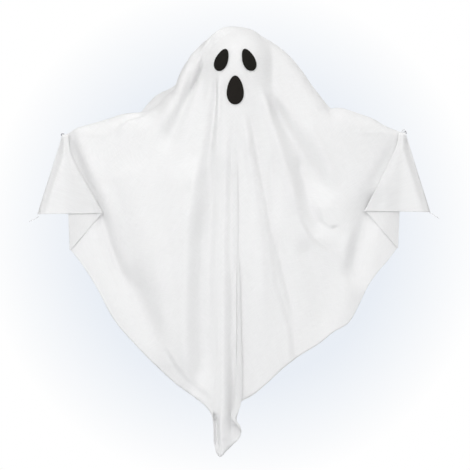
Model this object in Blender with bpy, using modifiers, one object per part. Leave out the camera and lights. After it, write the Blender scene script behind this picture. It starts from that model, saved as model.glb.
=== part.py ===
"""Hanging ghost: one square of white cloth draped over a foam ball and a wire arm bar.

Metres, +Z up. The origin is the crown, where the ghost hangs. The face looks along -Y.
The cloth is one sheet. Its front hangs to a gathered corner, each side corner folds twice
under an arm tip, and a short cape with pleats covers the back of the ball.
"""

import math

import bmesh
import bpy
from mathutils import Vector

# Overall sizes
FRONT_LENGTH = 0.410
LEFT_REACH = 0.1636
RIGHT_REACH = 0.1576
LEFT_TIP_DROP = 0.1035
RIGHT_TIP_DROP = 0.1015
BACK_LENGTH = 0.119

# Ball, cloth and wire
BALL_DIAMETER = 0.068
CLOTH_THICKNESS = 0.0008
WIRE_DIAMETER = 0.0012
SEAT_GAP = 0.0003
BALL_TO_CLOTH = 0.0010
STEM_WIDTH = 0.008
STEM_DEPTH = 0.028
BEND_RADIUS = 0.003
WIRE_EYE_RADIUS = 0.0013
WIRE_EYE_REACH = 0.0028
THREAD_DIAMETER = 0.0006

# Side corners: both folds and the corner are measured from the arm tip
CORNER_OUT = 0.027
CORNER_DROP = 0.0757
FLAP_FOLD_IN = 0.036
FLAP_FOLD_DROP = 0.0750
SIDE_FOLD_IN = 0.0046
SIDE_FOLD_DROP = 0.110
TIP_WIDTH = 0.003
TIP_LAYER_GAP = 0.0022
HEM_LAYER_GAP = 0.0046
CORNER_CURL = 0.0045
CURL_WIDTH = 0.0085
WIDEST_CURL = 0.62
CURL_FALL = 0.15
TIP_BULGE = 0.16
HEM_BULGE = 0.06
BULGE_FALL = 0.6

# Gathered front corner
TAIL_LENGTH = 0.046
TAIL_WIDTH = 0.0245
TAIL_SHIFT = -0.0105
NECK_TUCK = 0.0028
NECK_HEIGHT = 0.010

# Face patches of felt
FACE_SHIFT = -0.0017
EYE_SPACING = 0.0246
EYE_DROP = 0.0333
EYE_LENGTH = 0.0218
EYE_WIDTH = 0.0116
EYE_TILT = math.radians(22)
MOUTH_DROP = 0.0618
MOUTH_LENGTH = 0.0273
MOUTH_WIDTH = 0.0155
FELT_THICKNESS = 0.0008
EGG_TAPER = 0.22

# Pleats of the cape
PLEAT_COUNT = 9
PLEAT_DEPTH = 0.0055
PLEAT_START = 0.62
PLEAT_FREE_EDGE = 0.3
CAPE_CORNER_RISE = 0.010

# Where the cloth leaves the ball on each side, measured from the crown
LEFT_LEAVE = math.radians(42)
RIGHT_LEAVE = math.radians(38)

# Arm outline past the ball: shares of the reach and of the tip's drop
LEFT_ARM = (
    (0.209, 0.175), (0.262, 0.285), (0.311, 0.377), (0.333, 0.463), (0.352, 0.550), (0.404, 0.629),
    (0.455, 0.719), (0.495, 0.764), (0.530, 0.784), (0.583, 0.795), (0.638, 0.802), (0.693, 0.820),
    (0.785, 0.870), (0.875, 0.916), (1.0, 1.0),
)
RIGHT_ARM = (
    (0.223, 0.159), (0.272, 0.215), (0.320, 0.281), (0.362, 0.356), (0.404, 0.440), (0.453, 0.553),
    (0.494, 0.633), (0.530, 0.706), (0.561, 0.762), (0.573, 0.772), (0.597, 0.765), (0.639, 0.769),
    (0.742, 0.822), (0.845, 0.886), (1.0, 1.0),
)

# Top of the back layer that shows behind the left shoulder: shares of the reach and tip drop
BACK_LAYER = (
    (0.275, 0.580), (0.326, 0.425), (0.345, 0.475), (0.392, 0.531), (0.444, 0.566), (0.482, 0.607),
    (0.510, 0.656), (0.542, 0.719), (0.574, 0.792), (0.672, 1.0),
)
BACK_LAYER_DEPTH = 0.005
BACK_LAYER_FALL = 0.08

# Front hem between the side folds and the gathered corner: where each guide rib ends, as
# the rib's place across, then shares of the reach and of the front length
LEFT_HEM = (
    (-0.93, -0.907, 0.552), (-0.83, -0.825, 0.603), (-0.70, -0.721, 0.680), (-0.58, -0.605, 0.734),
    (-0.42, -0.442, 0.799), (-0.33, -0.351, 0.832), (-0.24, -0.244, 0.863), (-0.17, -0.174, 0.884),
)
RIGHT_HEM = (
    (0.14, 0.036, 0.869), (0.24, 0.183, 0.829), (0.33, 0.285, 0.793), (0.41, 0.369, 0.768),
    (0.53, 0.497, 0.737), (0.61, 0.581, 0.711), (0.70, 0.674, 0.689), (0.77, 0.734, 0.650),
    (0.84, 0.793, 0.604), (0.91, 0.860, 0.568), (0.97, 0.919, 0.542),
)

# Soft folds of the front, all as shares of the front length: the rise towards the viewer (a
# valley is negative), the half width at the start and at the end, and the line
FOLDS = (
    (-0.0130, 0.010, 0.022,
     ((-0.030, 0.025), (-0.074, 0.070), (-0.100, 0.128), (-0.135, 0.204), (-0.176, 0.304))),
    (0.0078, 0.010, 0.020, ((-0.035, 0.019), (-0.083, 0.063), (-0.121, 0.141), (-0.169, 0.239))),
    (-0.0180, 0.010, 0.034,
     ((-0.051, 0.114), (-0.060, 0.248), (-0.090, 0.420), (-0.116, 0.622), (-0.139, 0.878))),
    (0.0120, 0.020, 0.037, ((-0.095, 0.378), (-0.176, 0.529), (-0.174, 0.610), (-0.151, 0.805))),
    (0.0073, 0.010, 0.022, ((0.012, 0.188), (0.040, 0.373), (0.058, 0.587), (0.066, 0.732))),
    (0.0063, 0.010, 0.029, ((0.049, 0.125), (0.097, 0.271), (0.149, 0.466))),
    (-0.0220, 0.012, 0.032,
     ((0.058, 0.081), (0.097, 0.162), (0.153, 0.304), (0.186, 0.452), (0.205, 0.500))),
    (-0.0120, 0.015, 0.022, ((0.137, 0.192), (0.195, 0.320), (0.220, 0.415))),
    (0.0073, 0.015, 0.032, ((0.260, 0.466), (0.255, 0.610), (0.246, 0.732))),
    (-0.0146, 0.012, 0.022, ((0.356, 0.312), (0.311, 0.436), (0.271, 0.545), (0.260, 0.615))),
    (-0.0170, 0.020, 0.029, ((-0.341, 0.402), (-0.299, 0.517), (-0.239, 0.633), (-0.153, 0.763))),
    (-0.0073, 0.020, 0.039, ((0.146, 0.488), (0.205, 0.646), (0.210, 0.732))),
    (-0.0085, 0.012, 0.022, ((-0.390, 0.254), (-0.346, 0.356), (-0.312, 0.434), (-0.293, 0.488))),
    (-0.0085, 0.012, 0.022, ((0.378, 0.249), (0.334, 0.356), (0.302, 0.424), (0.285, 0.476))),
    (-0.0058, 0.010, 0.014, ((-0.010, 0.207), (-0.018, 0.537), (-0.022, 0.907))),
)

# Crisp folds, in the same shares: the rise of the high side, half width of the high side and
# of the low side, width of the turn, and the line. The high side is left of the line.
CRISP_FOLDS = (
    (0.0050, 0.024, 0.024, 0.010, ((-0.014, 0.188), (-0.030, 0.343), (-0.032, 0.610), (-0.040, 0.940))),
    (0.0037, 0.015, 0.022, 0.010, ((0.023, 0.169), (0.065, 0.390), (0.118, 0.638), (0.137, 0.726))),
    (0.0039, 0.015, 0.012, 0.007, ((0.141, 0.429), (0.179, 0.499), (0.248, 0.529))),
    (0.0037, 0.012, 0.020, 0.007, ((0.072, 0.434), (0.123, 0.691), (0.139, 0.805))),
    (-0.0054, 0.012, 0.012, 0.007, ((-0.315, 0.420), (-0.278, 0.499), (-0.241, 0.547))),
)
FOLD_FADE_IN = 0.16
FOLD_FADE_OUT = 0.22
PLEAT_LOW_SIDE = 1.8

# Shape of the drape: depth of the sheet beside the ball as shares of the head's radius, and
# how the depth falls off to the arm tips and down the front
FRONT_FULLNESS = 0.62
CAPE_FULLNESS = 0.55
ROLL_FULLNESS = 0.85
ROLL_POWER = 0.6
LOW_POWER = 0.8
LOW_REACH = 2.5
HANG_IN = 0.18
FOLD_FREE_EDGE = 0.08
BALL_REST = 0.04
BALL_CLEAR = 0.6

# Ribs of the sheet: how evenly they start along the ridge, the longest roll as a share of a
# rib, and the place across of the fold beside the mouth with the spacing of its extra ribs
RIDGE_SPREAD = 0.55
LONGEST_ROLL = 0.6
CREASE_PLACE = -0.09
CREASE_SPACING = 0.012

# Resolution of the sheet
COLUMNS = 40
CREASE_COLUMNS = 4
WRAP_ROWS = 7
HANG_ROWS = 15
CAPE_ROWS = 5
TURN_COLUMNS = 4
MIDDLE_COLUMNS = 2
FLAP_COLUMNS = 4

HEAD_RADIUS = BALL_DIAMETER / 2 + BALL_TO_CLOTH + CLOTH_THICKNESS / 2
HEAD_Z = -CLOTH_THICKNESS / 2 - HEAD_RADIUS
WIRE_SEAT = CLOTH_THICKNESS / 2 + SEAT_GAP + WIRE_DIAMETER / 2
TIP_ROOM = 0.0012
TIP_DEPTH = WIRE_SEAT + TIP_ROOM


def smooth(value):
    """0 below 0, 1 above 1, with a soft start and end."""
    value = min(max(value, 0.0), 1.0)
    return value * value * (3.0 - 2.0 * value)


def through(points, place, start_slope=None):
    """Value at place of the smooth curve through (place, value) points."""
    if place <= points[0][0]:
        return points[0][1]
    if place >= points[-1][0]:
        return points[-1][1]
    index = max(i for i in range(len(points) - 1) if points[i][0] <= place)
    steps = [(b[1] - a[1]) / (b[0] - a[0]) for a, b in zip(points, points[1:])]
    slopes = [steps[0]] + [(a + b) / 2 for a, b in zip(steps, steps[1:])] + [steps[-1]]
    if start_slope is not None:
        slopes[0] = start_slope
    (x0, y0), (x1, y1) = points[index], points[index + 1]
    width = x1 - x0
    t = (place - x0) / width
    return (
        (2 * t**3 - 3 * t**2 + 1) * y0
        + (t**3 - 2 * t**2 + t) * width * slopes[index]
        + (3 * t**2 - 2 * t**3) * y1
        + (t**3 - t**2) * width * slopes[index + 1]
    )


def larger(first, second, sharpness=6):
    """Soft maximum of two lengths."""
    return (first**sharpness + second**sharpness) ** (1 / sharpness)


def side_of(x):
    """Reach, tip drop, leaving angle and arm outline of the side that x lies on."""
    if x < 0:
        return LEFT_REACH, LEFT_TIP_DROP, LEFT_LEAVE, LEFT_ARM
    return RIGHT_REACH, RIGHT_TIP_DROP, RIGHT_LEAVE, RIGHT_ARM


def ridge_z(x):
    """Height of the top line from arm tip to arm tip, over the ball."""
    reach, drop, leave, arm = side_of(x)
    leave_x = HEAD_RADIUS * math.sin(leave)
    if abs(x) <= leave_x:
        return HEAD_Z + math.sqrt(HEAD_RADIUS**2 - x**2)
    points = [(leave_x, HEAD_Z + HEAD_RADIUS * math.cos(leave))]
    points += [(across * reach, -down * drop) for across, down in arm]
    return through(points, abs(x), -math.tan(leave))


def ball_depth(x):
    """Half depth of the ball's cloth at x, or nothing beside the ball."""
    return math.sqrt(max(HEAD_RADIUS**2 - x**2, 0.0))


def inward(x):
    """1 at the crown, 0 at an arm tip."""
    return 1.0 - min(abs(x) / side_of(x)[0], 1.0)


def roll_drop(x):
    """How far below the ridge the cloth takes to turn from level to upright."""
    beside = TIP_DEPTH + (ROLL_FULLNESS * HEAD_RADIUS - TIP_DEPTH) * inward(x) ** ROLL_POWER
    return larger(ball_depth(x), beside)


def tent_depth(x, z, fullness):
    """Depth of the cloth from the ridge's plane, past the roll."""
    high = larger(ball_depth(x), TIP_DEPTH + (fullness * HEAD_RADIUS - TIP_DEPTH) * inward(x))
    low = TIP_DEPTH + (HEAD_RADIUS - TIP_DEPTH) * inward(x) ** LOW_POWER
    fall = smooth((HEAD_Z - z) / (LOW_REACH * HEAD_RADIUS))
    return high + (low - high) * fall


def rolled(x, z):
    """Share of the full depth at this drop below the ridge: a quarter ellipse, then 1."""
    drop = max(ridge_z(x) - z, 0.0) / roll_drop(x)
    return 1.0 if drop >= 1.0 else math.sqrt(1.0 - (1.0 - drop) ** 2)


def beside_line(line, x, z):
    """Share of a line's length at the place nearest to (x, z), and distance to its right."""
    places = [(px * FRONT_LENGTH, -down * FRONT_LENGTH) for px, down in line]
    lengths = [math.dist(one, two) for one, two in zip(places, places[1:])]
    done, nearest = 0.0, (math.inf, 0.0, 0.0)
    for (x0, z0), (x1, z1), length in zip(places, places[1:], lengths):
        dx, dz = (x1 - x0) / length, (z1 - z0) / length
        held = min(max((x - x0) * dx + (z - z0) * dz, 0.0), length)
        away = math.dist((x, z), (x0 + held * dx, z0 + held * dz))
        side = (z - z0) * dx - (x - x0) * dz
        nearest = min(nearest, (away, (done + held) / sum(lengths), math.copysign(away, side)))
        done += length
    return nearest[1], nearest[2]


def fold_fade(along):
    """Folds start and end softly."""
    return smooth(along / FOLD_FADE_IN) * smooth((1.0 - along) / FOLD_FADE_OUT)


def folds_rise(x, z):
    """How far all the folds of the front stand towards the viewer."""
    rise = 0.0
    for height, start_width, end_width, line in FOLDS:
        along, aside = beside_line(line, x, z)
        width = (start_width + (end_width - start_width) * along) * FRONT_LENGTH
        rise += height * fold_fade(along) * math.exp(-((aside / width) ** 2))
    for height, high_width, low_width, turn, line in CRISP_FOLDS:
        along, aside = beside_line(line, x, z)
        width = low_width if aside > 0 else high_width
        step = 1.0 - PLEAT_LOW_SIDE * smooth(aside / (turn * FRONT_LENGTH) + 0.5)
        rise += height * fold_fade(along) * step * math.exp(-abs(aside) / (width * FRONT_LENGTH))
    return rise * FRONT_LENGTH


def plain_front_y(x, z):
    """Depth of the front sheet without its folds."""
    hang = 1.0 - HANG_IN * smooth((HEAD_Z - z) / FRONT_LENGTH)
    return -rolled(x, z) * tent_depth(x, z, FRONT_FULLNESS) * hang


def front_y(x, z):
    """Depth of the front sheet at a place in the picture plane. No fold dips into the ball."""
    plain = plain_front_y(x, z)
    off_ball = math.hypot(x, plain, z - HEAD_Z) / HEAD_RADIUS - 1.0
    rise = smooth(inward(x) / FOLD_FREE_EDGE) * folds_rise(x, z)
    rise = max(rise, -HEAD_RADIUS * smooth((off_ball - BALL_REST) / BALL_CLEAR))
    return plain - rolled(x, z) * rise


def cape_y(x, z):
    """Depth of the cape behind the ridge, with pleats that open towards its hem."""
    wave = math.cos(math.pi * PLEAT_COUNT * x / side_of(x)[0] / 2)
    below = smooth((ridge_z(x) - z) / (PLEAT_START * BACK_LENGTH))
    pleat = PLEAT_DEPTH * (1.0 + wave) * below * smooth(inward(x) / PLEAT_FREE_EDGE)
    return rolled(x, z) * (tent_depth(x, z, CAPE_FULLNESS) + pleat)


def tip_of(side):
    """Arm tip on side -1 (left) or 1 (right), in the picture plane."""
    if side < 0:
        return -LEFT_REACH, -LEFT_TIP_DROP
    return RIGHT_REACH, -RIGHT_TIP_DROP


def layer_gap(down):
    """Distance between the folded layers, from the arm tip down to the hem."""
    return TIP_LAYER_GAP + (HEM_LAYER_GAP - TIP_LAYER_GAP) * down


def fold_place(side, down, inward, drop, tip_inward=0.0):
    """Place on a line from the arm tip to a hem point given inward and down from the tip."""
    tip_x, tip_z = tip_of(side)
    shift = tip_inward + (inward - tip_inward) * down
    return tip_x - side * shift, tip_z - drop * down


def front_foot(across):
    """Where the guide rib ends on the front hem, in the picture plane."""
    half_tail = TAIL_WIDTH / 2
    tail_top = -(FRONT_LENGTH - TAIL_LENGTH)
    points = []
    for side in (-1, 1):
        x, z = fold_place(side, 1.0, SIDE_FOLD_IN + HEM_LAYER_GAP / 2, SIDE_FOLD_DROP)
        points.append((float(side), x, z))
    for place, x_share, z_share in LEFT_HEM:
        points.append((place, x_share * LEFT_REACH, -z_share * FRONT_LENGTH))
    for place, x_share, z_share in RIGHT_HEM:
        points.append((place, x_share * RIGHT_REACH, -z_share * FRONT_LENGTH))
    points.append((-0.125, TAIL_SHIFT - half_tail, tail_top - 0.22 * TAIL_LENGTH))
    points.append((-0.070, TAIL_SHIFT - 0.78 * half_tail, tail_top - 0.90 * TAIL_LENGTH))
    points.append((-0.030, TAIL_SHIFT - 0.35 * half_tail, -FRONT_LENGTH))
    points.append((0.040, TAIL_SHIFT + 0.92 * half_tail, tail_top - 0.62 * TAIL_LENGTH))
    points.append((0.095, TAIL_SHIFT + 1.06 * half_tail, tail_top - 0.10 * TAIL_LENGTH))
    points.sort()
    x = through([(place, x) for place, x, _ in points], across)
    z = through([(place, z) for place, _, z in points], across)
    return x, z


def ridge_place(across):
    """Where the guide rib starts on the ridge, closer together over the ball."""
    spread = RIDGE_SPREAD * across + (1.0 - RIDGE_SPREAD) * across**3
    inset = TIP_LAYER_GAP / 2
    x = spread * (LEFT_REACH - inset if across < 0 else RIGHT_REACH - inset)
    return x, ridge_z(x)


def row_shares(top, foot, rows, roll):
    """Shares down a rib: quarter-turn steps over the roll, then even ones to the hem."""
    wrap = min(roll / (top - foot), LONGEST_ROLL)
    shares = [wrap * (1 - math.cos(math.pi / 2 * i / WRAP_ROWS)) for i in range(WRAP_ROWS)]
    return shares + [wrap + (1 - wrap) * i / rows for i in range(rows + 1)]


def front_column(across):
    """Points of one rib of the front, from the ridge to the hem."""
    x0, z0 = ridge_place(across)
    x1, z1 = front_foot(across)
    points = []
    for down in row_shares(z0, z1, HANG_ROWS, roll_drop(x0)):
        x, z = x0 + (x1 - x0) * down, z0 + (z1 - z0) * down
        z = min(z, ridge_z(x))
        x += neck_shift(x, z)
        points.append(Vector((x, front_y(x, z), z)))
    return points


def neck_shift(x, z):
    """How far the cloth is drawn in above the gathered corner."""
    neck_z = -(FRONT_LENGTH - TAIL_LENGTH)
    height = math.exp(-(((z - neck_z) / NECK_HEIGHT) ** 2))
    return NECK_TUCK * height * min(TAIL_SHIFT - x, 0.0) / (TAIL_WIDTH / 2)


def cape_column(across):
    """Points of one rib of the cape, from just behind the ridge to the back hem."""
    x0, z0 = ridge_place(across)
    z1 = -BACK_LENGTH + CAPE_CORNER_RISE * abs(across)
    points = []
    for down in row_shares(z0, z1, CAPE_ROWS, roll_drop(x0))[1:]:
        z = z0 + (z1 - z0) * down
        y = cape_y(x0, z)
        points.append(Vector((x0, y, z + back_lift(x0, y, z))))
    return points


def back_lift(x, y, z):
    """How far the back layer stands above the ridge behind the left shoulder."""
    share = -x / LEFT_REACH
    if not BACK_LAYER[0][0] < share < BACK_LAYER[-1][0]:
        return 0.0
    lift = max(-through(BACK_LAYER, share) * LEFT_TIP_DROP - ridge_z(x), 0.0)
    return lift * smooth(y / BACK_LAYER_DEPTH) * (1.0 - smooth((ridge_z(x) - z) / BACK_LAYER_FALL))


def flap_columns(side, fold_column):
    """Columns of a side corner: a turn, the middle layer, a turn back and the front flap."""
    tip_z = tip_of(side)[1]
    turn = [math.pi * i / TURN_COLUMNS for i in range(1, TURN_COLUMNS + 1)]
    rows = []
    for point in fold_column:
        down = (tip_z - point.z) / SIDE_FOLD_DROP
        down = min(max(down, 0.0), 1.0)
        gap = layer_gap(down)
        side_x, side_z = fold_place(side, down, SIDE_FOLD_IN, SIDE_FOLD_DROP)
        fold_x, fold_z = fold_place(side, down, FLAP_FOLD_IN, FLAP_FOLD_DROP, TIP_WIDTH)
        edge_x, edge_z = fold_place(side, down, -CORNER_OUT, CORNER_DROP, -TIP_WIDTH)
        row = []
        for angle in turn:
            x = side_x - side * gap / 2 * (1 - math.sin(angle))
            row.append(Vector((x, point.y - gap / 2 * (1 - math.cos(angle)), point.z)))
        middle_x = fold_x + side * gap / 2
        for i in range(1, MIDDLE_COLUMNS + 1):
            share = i / MIDDLE_COLUMNS
            x = row[TURN_COLUMNS - 1].x * (1 - share) + middle_x * share
            z = side_z * (1 - share) + fold_z * share
            row.append(Vector((x, over_front(x, z, point.y) - gap, z)))
        fold_y = over_front(middle_x, fold_z, point.y)
        for angle in turn:
            x = middle_x - side * gap / 2 * math.sin(angle)
            row.append(Vector((x, fold_y - gap * (1.5 - 0.5 * math.cos(angle)), fold_z)))
        width = abs(edge_x - middle_x)
        curl_start = 1.0 - min(CURL_WIDTH / width, WIDEST_CURL)
        bow = TIP_BULGE + (HEM_BULGE - TIP_BULGE) * smooth(down / BULGE_FALL)
        for i in range(1, FLAP_COLUMNS + 1):
            share = i / FLAP_COLUMNS
            x = middle_x * (1 - share) + edge_x * share
            z = fold_z * (1 - share) + edge_z * share
            curled = smooth((share - curl_start) / (1 - curl_start))
            curl = CORNER_CURL * smooth(down / CURL_FALL) * curled
            bulge = bow * width * math.sin(math.pi * share)
            row.append(Vector((x, over_front(x, z, point.y) - 2 * gap - bulge + curl, z)))
        rows.append(row)
    return [list(column) for column in zip(*rows)]


def over_front(x, z, fold_y):
    """Depth that a folded layer clears: the front sheet's here, or its own side fold's."""
    return -larger(-fold_y, -front_y(x, z))


def across_places():
    """Places of the guide ribs from -1 to 1, with more beside the crisp fold."""
    even = [-1 + 2 * i / COLUMNS for i in range(COLUMNS + 1)]
    middle = (CREASE_COLUMNS - 1) / 2
    extra = [CREASE_PLACE + CREASE_SPACING * (i - middle) for i in range(CREASE_COLUMNS)]
    return sorted(even + extra)


def loft(mesh, columns):
    """Quads between neighbouring columns of vertices, facing the viewer."""
    for left, right in zip(columns, columns[1:]):
        for i in range(len(left) - 1):
            mesh.faces.new((left[i], left[i + 1], right[i + 1], right[i]))


def make_cloth(material):
    """The whole sheet: left corner, front, right corner and the cape behind the ridge."""
    fronts = [front_column(across) for across in across_places()]
    capes = [cape_column(across) for across in across_places()]
    left = flap_columns(-1, fronts[0])
    right = flap_columns(1, fronts[-1])
    mesh = bmesh.new()
    front_verts = [[mesh.verts.new(point) for point in column] for column in fronts]
    left_verts = [[mesh.verts.new(point) for point in column] for column in reversed(left)]
    right_verts = [[mesh.verts.new(point) for point in column] for column in right]
    loft(mesh, left_verts + front_verts + right_verts)
    cape_verts = []
    for front, column in zip(front_verts, capes):
        behind = [mesh.verts.new(point) for point in column]
        cape_verts.append(list(reversed(behind)) + [front[0]])
    loft(mesh, cape_verts)
    cloth = finish("cloth", mesh, material)
    solidify(cloth, CLOTH_THICKNESS, 0.0)
    return cloth


def egg_point(angle, radius, length, width, tilt):
    """Point of an egg outline with its narrow end up, turned by the tilt."""
    x = width / 2 * radius * math.sin(angle) * (1 - EGG_TAPER * math.cos(angle))
    z = length / 2 * radius * math.cos(angle)
    return x * math.cos(tilt) + z * math.sin(tilt), z * math.cos(tilt) - x * math.sin(tilt)


def make_patch(name, x, drop, length, width, tilt, material):
    """Felt patch glued on the cloth: an egg outline that follows the head."""
    mesh = bmesh.new()
    disc = bmesh.ops.create_circle(mesh, cap_ends=True, cap_tris=True, segments=28, radius=1.0)
    spokes = [edge for edge in mesh.edges if not edge.is_boundary]
    bmesh.ops.subdivide_edges(mesh, edges=spokes, cuts=3, use_grid_fill=True)
    offset = CLOTH_THICKNESS / 2 + SEAT_GAP + FELT_THICKNESS / 2
    for vert in mesh.verts:
        radius = math.hypot(vert.co.x, vert.co.y)
        angle = math.atan2(vert.co.x, vert.co.y)
        dx, dz = egg_point(angle, radius, length, width, tilt)
        vert.co = off_front(x + dx, -drop + dz, offset)
    bmesh.ops.recalc_face_normals(mesh, faces=mesh.faces)
    patch = finish(name, mesh, material)
    solidify(patch, FELT_THICKNESS, 0.0)
    return patch


def off_front(x, z, offset):
    """Point that stands off the front sheet by the offset, square to it."""
    step = 0.0005
    slope_x = (front_y(x + step, z) - front_y(x - step, z)) / (2 * step)
    slope_z = (front_y(x, z + step) - front_y(x, z - step)) / (2 * step)
    normal = Vector((slope_x, -1.0, slope_z)).normalized()
    return Vector((x, front_y(x, z), z)) + normal * offset


def arc(centre_x, centre_z, radius, start, end, steps):
    """Points of an arc in the ghost's own plane, angles in degrees from +X."""
    points = []
    for i in range(steps + 1):
        angle = math.radians(start + (end - start) * i / steps)
        points.append((centre_x + radius * math.cos(angle), 0.0, centre_z + radius * math.sin(angle)))
    return points


def wire_half(side):
    """Half of the wire from its eye past the arm tip, along the arm and up the stem."""
    tip_x, tip_z = tip_of(side)
    wire_z = tip_z - WIRE_SEAT
    bar_z = -(LEFT_TIP_DROP + RIGHT_TIP_DROP) / 2 - WIRE_SEAT
    out = -side
    eye_x = tip_x - out * WIRE_EYE_REACH
    eye = arc(eye_x, wire_z + WIRE_EYE_RADIUS, WIRE_EYE_RADIUS, 20, 270, 14)
    points = [(eye_x + out * (px - eye_x), 0.0, pz) for px, _, pz in eye]
    bend_x = side * (STEM_WIDTH / 2 + BEND_RADIUS)
    points.append((tip_x, 0.0, wire_z))
    points.append(((tip_x + bend_x) / 2, 0.0, (wire_z + bar_z) / 2))
    bend = arc(bend_x, bar_z + BEND_RADIUS, BEND_RADIUS, 270, 180, 5)
    points += [(bend_x + side * (px - bend_x), 0.0, pz) for px, _, pz in bend]
    stem_top = HEAD_Z - BALL_DIAMETER / 2 + STEM_DEPTH - STEM_WIDTH / 2
    cap = arc(0.0, stem_top, STEM_WIDTH / 2, 0, 90, 5)
    points += [(side * px, 0.0, pz) for px, _, pz in cap]
    return points


def make_wire(material):
    """One wire: an eye at each end, two arms and a hairpin stem pushed into the ball."""
    left, right = wire_half(-1), wire_half(1)
    route = left + list(reversed(right))[1:]
    curve = bpy.data.curves.new("arm_wire", "CURVE")
    curve.dimensions = "3D"
    curve.bevel_depth = WIRE_DIAMETER / 2
    curve.bevel_resolution = 2
    curve.use_fill_caps = True
    spline = curve.splines.new("POLY")
    spline.points.add(len(route) - 1)
    for point, place in zip(spline.points, route):
        point.co = (*place, 1.0)
    wire = bpy.data.objects.new("arm_wire", curve)
    curve.materials.append(material)
    parts.objects.link(wire)
    return wire


def make_ball(material):
    """Foam ball with the slot that the wire's stem fills."""
    bpy.ops.mesh.primitive_uv_sphere_add(segments=40, ring_count=20, radius=BALL_DIAMETER / 2)
    ball = take(bpy.context.object, "head_ball", parts, material)
    ball.location.z = HEAD_Z
    bpy.ops.mesh.primitive_cube_add(size=1.0)
    slot = take(bpy.context.object, "stem_slot", cutters)
    slot.scale.x = STEM_WIDTH + WIRE_DIAMETER + 2 * SEAT_GAP
    slot.scale.y = WIRE_DIAMETER + 2 * SEAT_GAP
    depth = STEM_DEPTH + WIRE_DIAMETER / 2 + SEAT_GAP
    slot.scale.z = 2 * depth
    slot.location.z = HEAD_Z - BALL_DIAMETER / 2
    slot.hide_render = True
    slot.display_type = "WIRE"
    cut = ball.modifiers.new("stem slot", "BOOLEAN")
    cut.operation = "DIFFERENCE"
    cut.object = slot
    return ball


def make_tie(name, side, material):
    """Thread tied round the wire between its eye and the tip of the cloth."""
    tip_x, tip_z = tip_of(side)
    ring = WIRE_DIAMETER / 2 + SEAT_GAP + THREAD_DIAMETER / 2
    bpy.ops.mesh.primitive_torus_add(
        major_radius=ring,
        minor_radius=THREAD_DIAMETER / 2,
        major_segments=20,
        minor_segments=8,
        rotation=(0.0, math.pi / 2, 0.0),
    )
    tie = take(bpy.context.object, name, parts, material)
    tie.location = (tip_x + side * WIRE_EYE_REACH / 4, 0.0, tip_z - WIRE_SEAT)
    return tie


def take(thing, name, collection, material=None):
    """Name a new primitive and move it into its collection."""
    thing.name = name
    for holder in list(thing.users_collection):
        holder.objects.unlink(thing)
    collection.objects.link(thing)
    if material:
        thing.data.materials.append(material)
        thing.data.shade_smooth()
    return thing


def finish(name, mesh, material):
    """Turn a bmesh into a named object of the part."""
    data = bpy.data.meshes.new(name)
    mesh.to_mesh(data)
    mesh.free()
    data.materials.append(material)
    data.shade_smooth()
    thing = bpy.data.objects.new(name, data)
    parts.objects.link(thing)
    return thing


def solidify(thing, thickness, offset):
    """Give an open surface its thickness."""
    shell = thing.modifiers.new("thickness", "SOLIDIFY")
    shell.thickness = thickness
    shell.offset = offset


def make_material(name, colour, roughness, metallic=0.0):
    """Principled material with one colour."""
    material = bpy.data.materials.new(name)
    material.use_nodes = True
    shader = material.node_tree.nodes["Principled BSDF"]
    shader.inputs["Base Color"].default_value = (*colour, 1.0)
    shader.inputs["Roughness"].default_value = roughness
    shader.inputs["Metallic"].default_value = metallic
    return material


def make_collection(name):
    """New collection in the scene."""
    collection = bpy.data.collections.new(name)
    bpy.context.scene.collection.children.link(collection)
    return collection


for old in list(bpy.data.objects):
    bpy.data.objects.remove(old, do_unlink=True)
parts = make_collection("hanging_ghost")
cutters = make_collection("cutters")

white_cloth = make_material("white polyester cloth", (0.86, 0.86, 0.85), 0.85)
black_felt = make_material("black felt", (0.006, 0.006, 0.005), 0.95)
white_foam = make_material("white polystyrene foam", (0.80, 0.80, 0.79), 0.8)
steel = make_material("steel wire", (0.45, 0.45, 0.46), 0.35, 1.0)
thread = make_material("white thread", (0.75, 0.75, 0.74), 0.8)

make_cloth(white_cloth)
make_ball(white_foam)
make_wire(steel)
make_tie("left_tie", -1, thread)
make_tie("right_tie", 1, thread)
for name, side in (("left_eye", -1), ("right_eye", 1)):
    eye_x = FACE_SHIFT + side * EYE_SPACING / 2
    make_patch(name, eye_x, EYE_DROP, EYE_LENGTH, EYE_WIDTH, -side * EYE_TILT, black_felt)
make_patch("mouth", FACE_SHIFT, MOUTH_DROP, MOUTH_LENGTH, MOUTH_WIDTH, 0.0, black_felt)
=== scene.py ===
"""Looks of the hanging ghost: white polyester cloth over a foam ball and a wire arm bar.

Metres, +Z up, the crown at the origin and the face towards -Y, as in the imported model. The cloth
is one sheet, made from the same drape lines as its solid, with all its folds. The ball, the wire
and the ties are the model's own nodes with finished materials.
"""

import math

import bmesh
import bpy
import numpy as np
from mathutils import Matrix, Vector


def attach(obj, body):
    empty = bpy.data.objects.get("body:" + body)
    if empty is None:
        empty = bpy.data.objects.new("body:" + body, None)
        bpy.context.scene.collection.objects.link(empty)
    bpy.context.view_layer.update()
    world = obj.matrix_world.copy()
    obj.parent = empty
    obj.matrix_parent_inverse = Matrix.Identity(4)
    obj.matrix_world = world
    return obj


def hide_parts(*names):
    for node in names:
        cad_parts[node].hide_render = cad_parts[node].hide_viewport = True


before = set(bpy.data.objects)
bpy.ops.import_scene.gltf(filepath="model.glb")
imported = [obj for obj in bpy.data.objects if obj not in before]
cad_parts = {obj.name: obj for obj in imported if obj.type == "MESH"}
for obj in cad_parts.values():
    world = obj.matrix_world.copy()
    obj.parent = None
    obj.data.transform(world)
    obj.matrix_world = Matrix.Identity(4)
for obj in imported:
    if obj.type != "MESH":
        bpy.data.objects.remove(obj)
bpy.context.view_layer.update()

MM = 0.001

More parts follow.
